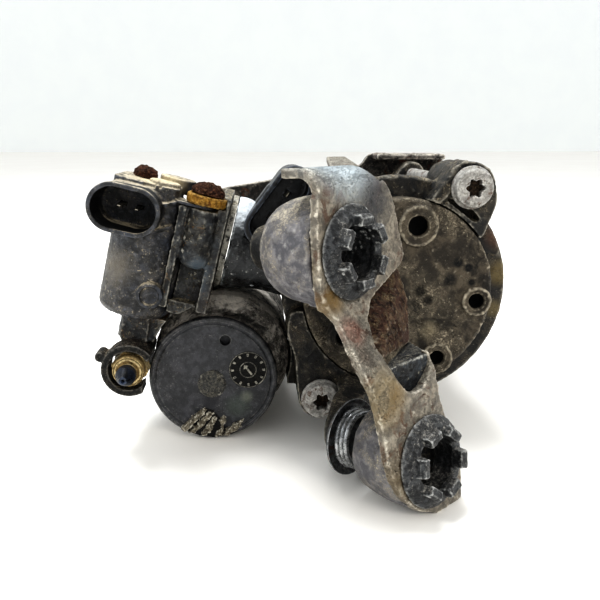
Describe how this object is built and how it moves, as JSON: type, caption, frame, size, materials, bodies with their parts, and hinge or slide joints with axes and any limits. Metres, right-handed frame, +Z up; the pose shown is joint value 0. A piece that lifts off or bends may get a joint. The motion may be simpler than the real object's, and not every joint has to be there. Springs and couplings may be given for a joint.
{
  "type": "air suspension compressor",
  "caption": "Electric piston compressor with round crankcase, side barrel and head, horizontal air dryer, vent solenoid with oval connector, and steel bracket on rubber isolators.",
  "frame": {"origin": "centre of the crank cover's front face, on the crank and motor axis", "axes": "+Y from the crank cover back along the motor axis, +Z up as the part stands, +X to the side away from the cylinder head"},
  "size_m": [0.158, 0.1746, 0.1072],
  "materials": {
    "casting": "cast, blackened and dusty",
    "plastic": "moulded, dusty",
    "painted_steel": "black paint",
    "steel": "weathered",
    "motor_steel": "stacked sheet",
    "rusty_steel": "worn coating with rust",
    "rusty_screw": "rusted",
    "rubber": "dull",
    "brass": "tarnished",
    "copper": "drawn wire",
    "carbon": "pressed graphite",
    "ferrite": "ground",
    "desiccant": "packed granules",
    "aluminium": "die cast"
  },
  "bodies": {
    "root": {"brush_holder": "plastic", "brush_left": "carbon", "brush_right": "carbon", "crank_cover": "casting", "crankcase": "casting", "cylinder_barrel": "casting", "cylinder_head": "casting", "dryer_body": "plastic", "dryer_cap": "plastic", "dryer_cartridge": "desiccant", "dryer_seal": "rubber", "dryer_spring": "steel", "front_bearing": "steel", "lower_isolator_dish": "steel", "lower_isolator_spring": "steel", "magnet_left": "ferrite", "magnet_right": "ferrite", "motor_can": "painted_steel", "motor_connector": "plastic", "motor_pin_1": "brass", "motor_pin_2": "brass", "outlet_guard": "plastic", "outlet_nut": "brass", "outlet_plug": "plastic", "rear_bearing": "brass", "rear_cover": "casting", "rear_isolator_stud": "steel", "screw_ring": "brass", "solenoid_coil": "copper", "solenoid_core": "steel", "solenoid_housing": "plastic", "solenoid_pin_1": "brass", "solenoid_pin_2": "brass", "solenoid_screw_large": "rusty_screw", "solenoid_screw_small": "rusty_screw", "through_bolt_lower": "steel", "through_bolt_upper": "steel", "upper_isolator_dish": "steel", "upper_isolator_spring": "steel", "valve_plate": "steel"},
    "rotor": {"crank": "steel", "motor_shaft": "steel", "armature": "motor_steel", "commutator": "copper"},
    "rod": {"piston_rod": "aluminium", "piston_seal": "carbon", "crankpin_bearing": "steel"},
    "plunger": {"solenoid_plunger": "steel"},
    "reed": {"discharge_reed": "steel"},
    "bracket": {"front_bracket": "rusty_steel", "rear_bracket": "rusty_steel", "upper_isolator_clip": "plastic", "lower_isolator_clip": "plastic", "upper_isolator_cup": "rubber", "lower_isolator_cup": "rubber", "rear_isolator_ring": "rubber"}
  },
  "joints": [
    {"name": "crank_spin", "type": "hinge", "parent": "root", "child": "rotor", "pos_m": [0, 0.027, 0], "axis": [0, 1, 0], "continuous": true},
    {"name": "rod_swing", "type": "hinge", "parent": "rotor", "child": "rod", "pos_m": [-0.0029, 0.027, 0.00075], "axis": [0, 1, 0], "continuous": true},
    {"name": "plunger_slide", "type": "slide", "parent": "root", "child": "plunger", "axis": [0.2504, 0, 0.9681], "range_m": [0, 0.0015], "stiffness_N_per_m": 600, "springref_m": -0.002},
    {"name": "reed_flex", "type": "hinge", "parent": "root", "child": "reed", "pos_m": [-0.06508, 0.027, 0.01476], "axis": [0, -1, 0], "range_deg": [0, 10], "stiffness_Nm_per_rad": 0.02, "springref_deg": -2.86},
    {"name": "bracket_float", "type": "slide", "parent": "root", "child": "bracket", "axis": [0.6825, -0.7255, 0.0889], "range_m": [-0.002, 0.002], "stiffness_N_per_m": 12000}
  ],
  "couplings": [
    {"joint": "rod_swing", "follows": "crank_spin", "ratio": -1}
  ]
}
